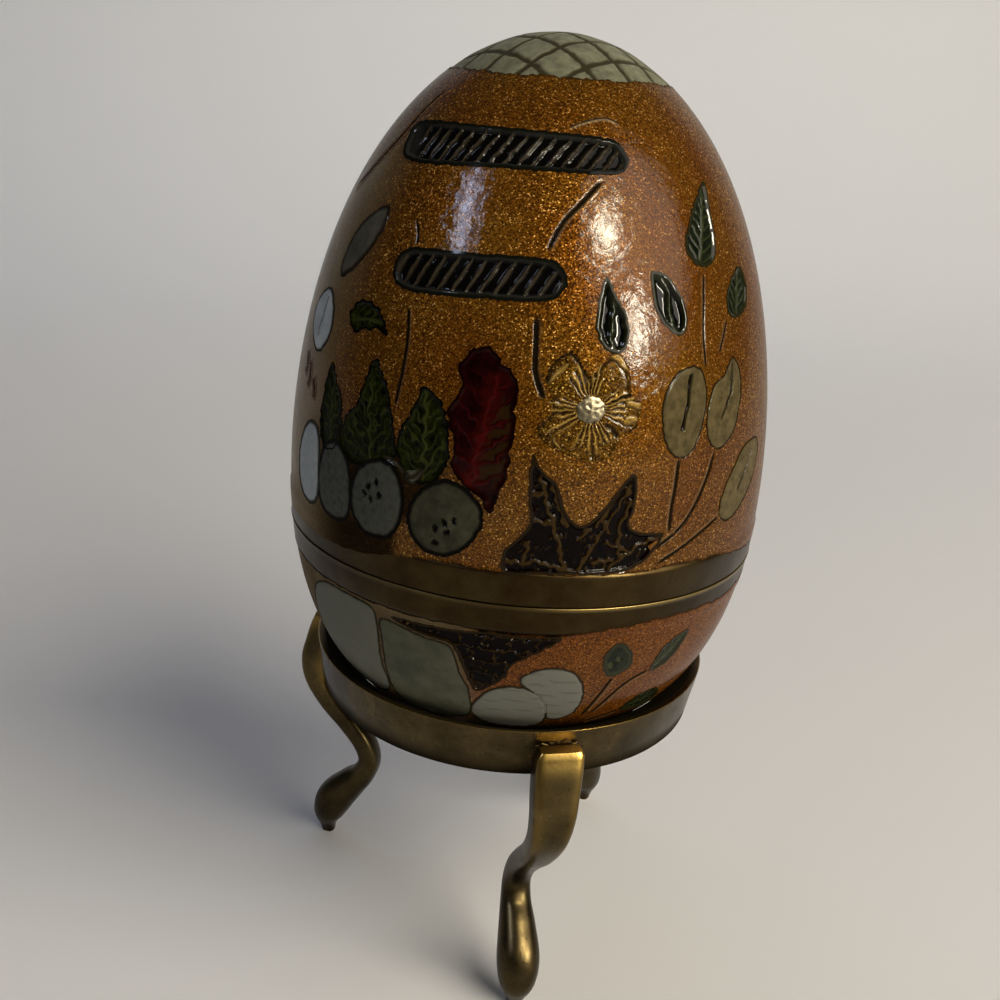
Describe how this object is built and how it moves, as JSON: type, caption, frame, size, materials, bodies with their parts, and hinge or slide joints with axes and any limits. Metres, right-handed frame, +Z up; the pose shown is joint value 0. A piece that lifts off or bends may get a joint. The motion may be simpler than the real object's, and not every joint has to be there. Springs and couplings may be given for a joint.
{
  "type": "egg-shaped trinket box on a three-legged stand",
  "caption": "Hollow enamelled brass egg box with a lift-off lid over a collared base, resting in a brass ring on cabriole legs.",
  "frame": {"origin": "on the floor, under the egg's axis", "axes": "+Z up along the egg's axis, -Y towards the front with the two ribbed bars"},
  "size_m": [0.062, 0.062, 0.1196],
  "materials": {
    "enamelled_brass": "gold-flecked orange lacquer with coloured enamel in pressed cells, glossy",
    "aged_brass": "tarnished, softly polished on the raised edges"
  },
  "bodies": {
    "root": {"egg_lid": "enamelled_brass", "egg_base": "enamelled_brass", "stand_ring": "aged_brass", "stand_leg_front": "aged_brass", "stand_leg_left": "aged_brass", "stand_leg_back": "aged_brass"}
  },
  "joints": []
}
